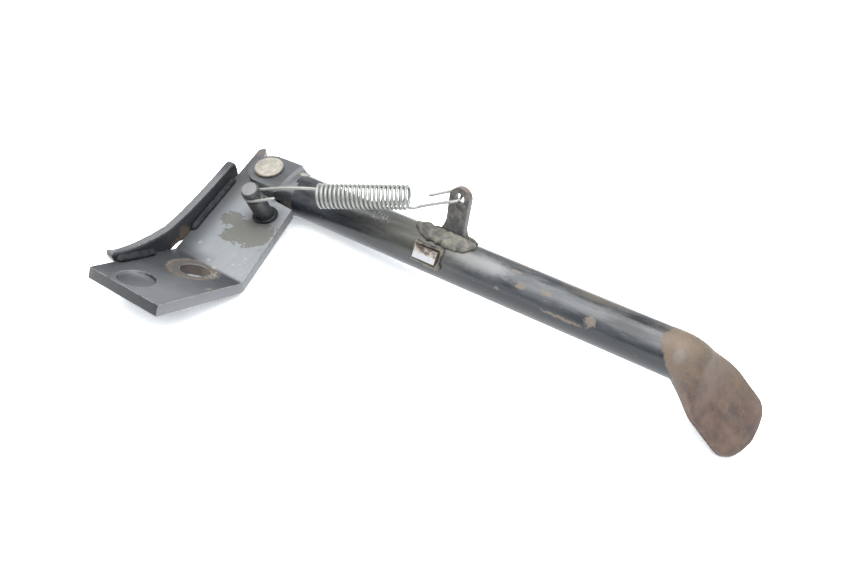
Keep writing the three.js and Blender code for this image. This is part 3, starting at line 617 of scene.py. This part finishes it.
def post_steel():
    look = Look("post_worn_steel", BRACKET)
    cloud = look.noise(3.5, 5, 0.6, seed=2)
    fine = look.noise(0.7, 4, 0.65, seed=3)
    body = look.mix(cloud, (0.04, 0.043, 0.048), (0.12, 0.12, 0.12))
    head = look.facing(HEAD_AXIS, 0.9, 0.98)
    colour = look.mix(head, body, look.mix(cloud, (0.27, 0.27, 0.285), (0.38, 0.38, 0.40)))
    rim = look.edges(0.7, 0.99, 0.93)
    colour = look.mix(look.both(rim, 0.7), colour, look.mix(fine, (0.17, 0.11, 0.085), (0.33, 0.27, 0.23)))
    return look.finish(colour, 0.48, 0.1, look.maths("ADD", cloud, look.both(fine, 0.5)), 0.14)


def yellow_zinc():
    look = Look("rivet_yellow_zinc", BRACKET)
    cloud = look.noise(4, 5, 0.65, seed=5, twist=1.2)
    fine = look.noise(0.8, 4, 0.65, seed=6)
    colour = look.mix(look.between(cloud, 0.32, 0.68), (0.33, 0.31, 0.26), (0.52, 0.495, 0.43))
    colour = look.mix(look.both(look.between(fine, 0.56, 0.66), 0.35), colour, (0.25, 0.205, 0.14))
    ring = look.maths("SUBTRACT", look.spot((0, 0, 10), (7.4, 7.4, 4), 0.10),
                      look.spot((0, 0, 10), (6.4, 6.4, 4), 0.16))
    colour = look.mix(look.both(ring, 0.55), colour, (0.24, 0.20, 0.15))
    height = look.maths("ADD", look.both(cloud, 1.6), look.both(fine, 0.5))
    return look.finish(colour, look.blend(cloud, 0.42, 0.55), 0.35, height, 0.12, shade=0.55)


def zinc_wire():
    look = Look("wire_dull_zinc", BRACKET)
    cloud = look.noise(6, 4, 0.6, seed=7)
    fine = look.noise(0.5, 4, 0.65, seed=8)
    colour = look.mix(cloud, (0.34, 0.35, 0.33), (0.46, 0.47, 0.445))
    colour = look.mix(look.both(look.between(fine, 0.56, 0.7), 0.4), colour, (0.22, 0.20, 0.165))
    return look.finish(colour, look.blend(fine, 0.36, 0.5), 0.4, fine, 0.05, shade=0.5)


# ---- the bracket --------------------------------------------------------------------------------------
def make_bracket():
    settle(bevelled(copy_of("bracket_plate"), 0.55), bracket_paint(), "bracket_plate")
    settle(remeshed(copy_of("gusset_rib"), 0.45, 18), rib_paint(), "gusset_rib")
    dark_weld = weld_coat("rib_weld_coat", BRACKET, (0.015, 0.018, 0.023), (0.045, 0.05, 0.057), 3,
                          rust=0.15, depth=0.1, gloss=0.15)
    for seed, node in enumerate(("rib_weld_upper", "rib_weld_lower")):
        fillet = lumpy(remeshed(copy_of(node), 0.32, 20), 0.10, 5.0, seed, 0.3)
        settle(fillet, dark_weld, node)
    settle(bevelled(copy_of("spring_post"), 0.4), post_steel(), "spring_post")
    collar = lumpy(remeshed(copy_of("spring_post_weld"), 0.25, 24), 0.15, 3.2, 4, 0.35)
    settle(collar, dark_weld, "spring_post_weld")
    rivet = smooth(lumpy(bevelled(copy_of("pivot_rivet"), 0.35), 0.05, 3.0, 5), 50)
    settle(rivet, yellow_zinc(), "pivot_rivet")


# ---- the leg ------------------------------------------------------------------------------------------
SECTION = 64  # points round the leg
FOOT = {"drop": radians(46), "bend_radius": 9.0, "length": 48.2, "half_width": 14.8, "thick": 4.6,
        "flattening": 24.0, "tip": 11.5, "twist": radians(12.5)}


def smoothstep(value, low, high):
    share = min(1.0, max(0.0, (value - low) / (high - low)))
    return share * share * (3 - 2 * share)


def dent(place, size, depth):
    return depth * (noise.noise(place / size) + 0.4 * noise.noise(place / size * 2.7))


def tube_rings():
    """The straight tube, a little uneven as a worn one is; it starts inside the fork's round end."""
    rings = []
    start, steps = FORK_END - 1.6, 150
    for i in range(steps + 1):
        x = start + (TUBE_END - start) * i / steps
        settle_in = 0.07 * (1 - smoothstep(x, start, FORK_END + 0.6))
        calm = smoothstep(x, FORK_END, FORK_END + 8) * (1 - smoothstep(x, TUBE_END - 8, TUBE_END))
        ring = []
        for j in range(SECTION):
            turn = 2 * pi * j / SECTION
            out = Vector((0, cos(turn), sin(turn)))
            place = Vector((x * 0.4, 0, 0)) + out * TUBE_RADIUS
            radius = TUBE_RADIUS - settle_in + calm * dent(place, 9, 0.05)
            ring.append(Vector((x, 0, 0)) + out * radius)
        rings.append(ring)
    return rings


def foot_rings():
    """The end of the tube pressed flat and bent down, as the CAD has it, with a hammered surface."""
    rings = []
    steps = 110
    bend_length = FOOT["bend_radius"] * FOOT["drop"]
    for i in range(steps + 1):
        s = FOOT["length"] * i / steps
        bend = min(s / FOOT["bend_radius"], FOOT["drop"])
        straight = max(0.0, s - bend_length)
        centre = Vector((TUBE_END + FOOT["bend_radius"] * sin(bend) + straight * cos(bend), 0,
                         -FOOT["bend_radius"] * (1 - cos(bend)) - straight * sin(bend)))
        flat = smoothstep(s, 0, FOOT["flattening"])
        tip = max(0.0, s - (FOOT["length"] - FOOT["tip"])) / FOOT["tip"]
        narrowing = sqrt(max(0.012, 1 - tip ** 2.8))
        wide = (TUBE_RADIUS + (FOOT["half_width"] - TUBE_RADIUS) * flat) * narrowing
        high = TUBE_RADIUS + (FOOT["thick"] / 2 - TUBE_RADIUS) * flat
        high *= 1 - 0.35 * smoothstep(tip, 0.55, 1.0)
        across, up = Vector((0, 1, 0)), Vector((sin(bend), 0, cos(bend)))
        twist = Matrix.Rotation(FOOT["twist"] * flat, 3, across.cross(up))
        across, up = twist @ across, twist @ up
        ring = []
        for j in range(SECTION):
            turn = 2 * pi * j / SECTION
            square = 1 + flat * 0.25 * sin(2 * turn) ** 2
            point = centre + across * wide * cos(turn) * square + up * high * sin(turn) * square
            ring.append(point + up * dent(point, 8, 0.28) * flat * (1 if sin(turn) >= 0 else -0.4))
        rings.append(ring)
    return rings


def make_leg():
    tube = smooth(loft("leg_tube_skin", tube_rings(), LEG))
    settle(tube, leg_paint("leg_gloss_paint"), "leg_tube")
    foot = smooth(loft("foot_paddle_skin", foot_rings(), LEG), 60)
    settle(foot, foot_rust(), "foot_paddle")
    fork = smooth(bevelled(copy_of("fork_end"), 0.4, 3, 38), 50)
    settle(fork, fork_paint(), "fork_end")
    settle(smooth(bevelled(copy_of("spring_tab"), 0.5), 40), tab_paint(), "spring_tab")
    mound = weld_coat("tab_weld_coat", LEG, (0.10, 0.10, 0.092), (0.32, 0.30, 0.24), 9, 0.7, 0.3)
    for seed, node in enumerate(("tab_weld_near", "tab_weld_far")):
        settle(lumpy(remeshed(copy_of(node), 0.35, 16), 0.5, 5.0, seed + 7, 0.5), mound, node)
    settle(bevelled(copy_of("stop_lug"), 0.5), lug_steel(), "stop_lug")
    rusty = weld_coat("lug_weld_coat", LEG, (0.045, 0.04, 0.035), (0.25, 0.225, 0.165), 12, 0.5, 0.2)
    settle(lumpy(remeshed(copy_of("stop_lug_weld"), 0.28, 18), 0.7, 3.6, 11, 0.35), rusty, "stop_lug_weld")


# ---- the spring: one wire from hook to hook -------------------------------------------------------------
WIRE_RADIUS = 0.70
COIL = {"radius": 4.95, "turns": 20, "phase": radians(14), "start": 31.5, "length": 40.0}
GROOVE_RADIUS = 3.1
REAR_LOOP = {"radius": 3.7, "side": 1.1}
POST = {"base": Vector((15.5, -21.4, PLATE_TOP)), "lean": Vector(HEAD_AXIS).normalized(),
        "groove": 16.2}
TAB = {"x": 102.3, "lean": radians(20), "hole": 29.3}


def spring_axes():
    """Where the spring hooks on, and its own directions: along it, to its far side, and up."""
    front = POST["base"] + POST["lean"] * POST["groove"]
    hole = Vector((TAB["x"], sin(TAB["lean"]) * TAB["hole"], cos(TAB["lean"]) * TAB["hole"]))
    rear = Matrix.Rotation(LEG_ANGLE, 3, "Z") @ hole
    way = (rear - front).normalized()
    side = Vector((0, 0, 1)).cross(way).normalized()
    return front, rear, way, side, way.cross(side)


FRONT, REAR, WAY, SIDE, TOP = spring_axes()
COIL_END = COIL["start"] + COIL["length"]


def on_spring(along, side, up):
    return FRONT + WAY * along + SIDE * side + TOP * up


def on_coil(along, turn):
    return on_spring(along, COIL["radius"] * cos(turn), COIL["radius"] * sin(turn))


def catmull(points, steps=8):
    """A centripetal Catmull-Rom line through the points."""
    line = []
    padded = [points[0] * 2 - points[1], *points, points[-1] * 2 - points[-2]]
    for p0, p1, p2, p3 in zip(padded, padded[1:], padded[2:], padded[3:]):
        t1 = sqrt((p1 - p0).length)
        t2 = t1 + sqrt((p2 - p1).length)
        t3 = t2 + sqrt((p3 - p2).length)
        for i in range(steps):
            t = t1 + (t2 - t1) * i / steps
            a1 = p0.lerp(p1, t / t1)
            a2 = p1.lerp(p2, (t - t1) / (t2 - t1))
            a3 = p2.lerp(p3, (t - t2) / (t3 - t2))
            b1 = a1.lerp(a2, t / t2)
            b2 = a2.lerp(a3, (t - t1) / (t3 - t1))
            line.append(b1.lerp(b2, (t - t1) / (t2 - t1)))
    return line + [points[-1]]


def front_hook_points():
    """From the free end, round the post's groove, to the coil's first turn."""
    reach = GROOVE_RADIUS + WIRE_RADIUS + 0.2
    points = [on_spring(11.4, 1.6 - reach, 0.5), on_spring(6, 0.5 - reach, 0.2)]
    level_way = Vector((WAY.x, WAY.y, 0)).normalized()
    for i in range(8, -1, -1):
        turn = radians(80 + i * 25)
        points.append(FRONT + (level_way * cos(turn) + SIDE * sin(turn)) * reach)
    points.append(on_spring(COIL["start"] / 2, reach + 0.2, 0.9))
    points += [on_coil(COIL["start"] - 5, 0), on_coil(COIL["start"] - 1.1, -0.1)]
    return points


def coil_points():
    steps = COIL["turns"] * 28
    points = []
    for i in range(steps + 1):
        share = i / steps
        wobble = 0.10 * noise.noise(Vector((share * 9, 3.3, 1.7)))
        along = COIL["start"] + COIL["length"] * share + wobble
        points.append(on_coil(along, COIL["phase"] + share * COIL["turns"] * 2 * pi))
    return points


def rear_hook_points():
    """From the last turn, over its near side, along the underside, through the tab's hole and back."""
    radius, side = REAR_LOOP["radius"], REAR_LOOP["side"]
    middle = (REAR - FRONT).length - sqrt(radius ** 2 - side ** 2)
    near, far = side - radius, side + radius
    pitch = COIL["length"] / COIL["turns"]
    points = [on_coil(COIL_END + pitch * turn / 360, COIL["phase"] + radians(turn))
              for turn in (30, 60, 95, 140)]
    points += [on_coil(COIL_END + 1.7, radians(205)), on_spring(COIL_END + 4.2, near - 0.6, -2.9),
               on_spring(COIL_END + 7, near - 0.2, -2.4), on_spring(middle - 4, near, -0.6)]
    for i in range(7):
        turn = radians(-90 + i * 30)
        points.append(on_spring(middle + radius * cos(turn), side + radius * sin(turn), 0))
    points += [on_spring(middle - 5, far - 0.8, -0.5), on_spring(middle - 11.3, far - 2.2, -1.2)]
    return points


def sweep(name, line, radius, sides, place):
    """Round wire along a line, with rounded ends."""
    last = len(line) - 1
    tangents = [(line[min(i + 1, last)] - line[max(i - 1, 0)]).normalized() for i in range(last + 1)]
    normal = tangents[0].orthogonal().normalized()
    rings = []
    for i, (point, tangent) in enumerate(zip(line, tangents)):
        normal = (normal - tangent * normal.dot(tangent)).normalized()
        second = tangent.cross(normal)
        ends = min(i, last - i)
        size = radius * (0.55, 0.88, 1.0)[min(ends, 2)]
        rings.append([point + (normal * cos(2 * pi * j / sides) + second * sin(2 * pi * j / sides)) * size
                      for j in range(sides)])
    return loft(name, rings, place)


def make_spring():
    rear = rear_hook_points()
    coil = coil_points()
    line = catmull(front_hook_points() + [coil[0], coil[2]], 8)[:-1]
    line += coil[2:-2]
    line += catmull([coil[-2], coil[-1]] + rear, 8)[1:]
    spacing = [line[0]]
    for point in line[1:]:
        if (point - spacing[-1]).length > 0.25:
            spacing.append(point)
    wire = smooth(sweep("spring_wire", spacing, WIRE_RADIUS, 14, BRACKET), 80)
    wire.data.materials.append(zinc_wire())
    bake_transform(wire, "spring_front", "spring_rear", start=BRACKET @ on_spring(COIL["start"], 0, 0),
             end=BRACKET @ on_spring(COIL_END, 0, 0))
    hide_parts("spring_front_hook", "spring_coil", "spring_rear_hook")


# ---- floor, light and camera --------------------------------------------------------------------------
VIEW = {"from": (288.69, -244.95, 305.31), "right": (0.81266, 0.58018, -0.05453),
        "ahead": (-0.43458, 0.54104, -0.72001), "lens": 41.574, "sensor": 36.0}
FLOOR = {"half_size": 3.0, "below": 0.00005, "glow": 0.36}  # metres, and a glow that thins the shadows
SOFTBOX = {"height": 0.75, "towards_camera": 0.10, "size": 1.1, "watts": 26.0}  # metres
WORLD = {"level": 0.9, "rise": 0.45, "turn": (-0.45, 0.5), "strength": (0.03, 0.95)}  # dark to pale


def make_camera():
    data = bpy.data.cameras.new("camera")
    data.sensor_width = VIEW["sensor"]
    data.lens = VIEW["lens"]
    data.clip_start = 0.01
    camera = add_object("camera", data)
    turn = BRACKET.to_3x3().normalized()
    right, ahead = turn @ Vector(VIEW["right"]), turn @ Vector(VIEW["ahead"])
    up = right.cross(ahead)
    rotation = Matrix((right, up, -ahead)).transposed().to_4x4()
    camera.matrix_world = Matrix.Translation(BRACKET @ Vector(VIEW["from"])) @ rotation
    bpy.context.scene.camera = camera
    return ahead


def make_floor():
    reach = FLOOR["half_size"]
    corners = [(-reach, -reach, 0), (reach, -reach, 0), (reach, reach, 0), (-reach, reach, 0)]
    floor = mesh_from("floor", corners, [(0, 1, 2, 3)], Matrix.Translation((0, 0, -FLOOR["below"])))
    look = Look("floor_white", Matrix.Identity(4))
    look.shader.inputs["Emission Color"].default_value = (0.93, 0.97, 1.0, 1)
    look.shader.inputs["Emission Strength"].default_value = FLOOR["glow"]
    tint = look.mix(look.noise(0.2, 2), (0.90, 0.925, 0.94), (0.93, 0.945, 0.955))
    floor.data.materials.append(look.finish(tint, 0.9, shade=1.0))


def add_area(name, place, target, size, watts):
    data = bpy.data.lights.new(name, "AREA")
    data.shape = "SQUARE"
    data.size = size
    data.energy = watts
    light = add_object(name, data)
    light.location = place
    light.rotation_euler = (Vector(target) - Vector(place)).to_track_quat("-Z", "Y").to_euler()


def make_world(ahead):
    """Pale all round, darker low on the side that the camera stands on."""
    world = bpy.data.worlds.new("studio")
    bpy.context.scene.world = world
    world.use_nodes = True
    tree = world.node_tree
    coords = tree.nodes.new("ShaderNodeTexCoord")
    dot = tree.nodes.new("ShaderNodeVectorMath")
    dot.operation = "DOT_PRODUCT"
    level = Vector((ahead.x, ahead.y, 0)).normalized()
    dot.inputs[1].default_value = (level.x * WORLD["level"], level.y * WORLD["level"], WORLD["rise"])
    tree.links.new(coords.outputs["Generated"], dot.inputs[0])
    share = tree.nodes.new("ShaderNodeMapRange")
    share.interpolation_type = "SMOOTHSTEP"
    for end, name in enumerate(("Min", "Max")):
        share.inputs["From " + name].default_value = WORLD["turn"][end]
        share.inputs["To " + name].default_value = WORLD["strength"][end]
    tree.links.new(dot.outputs["Value"], share.inputs["Value"])
    background = tree.nodes["Background"]
    background.inputs["Color"].default_value = (0.95, 0.975, 1.0, 1)
    tree.links.new(share.outputs["Result"], background.inputs["Strength"])


def make_studio():
    bpy.context.scene.view_settings.view_transform = "Standard"
    ahead = make_camera()
    make_floor()
    level = Vector((ahead.x, ahead.y, 0)).normalized()
    place = Vector((0, 0, SOFTBOX["height"])) - level * SOFTBOX["towards_camera"]
    add_area("softbox", place, (0, 0, 0), SOFTBOX["size"], SOFTBOX["watts"])
    make_world(ahead)


make_studio()
make_bracket()
make_leg()
make_spring()
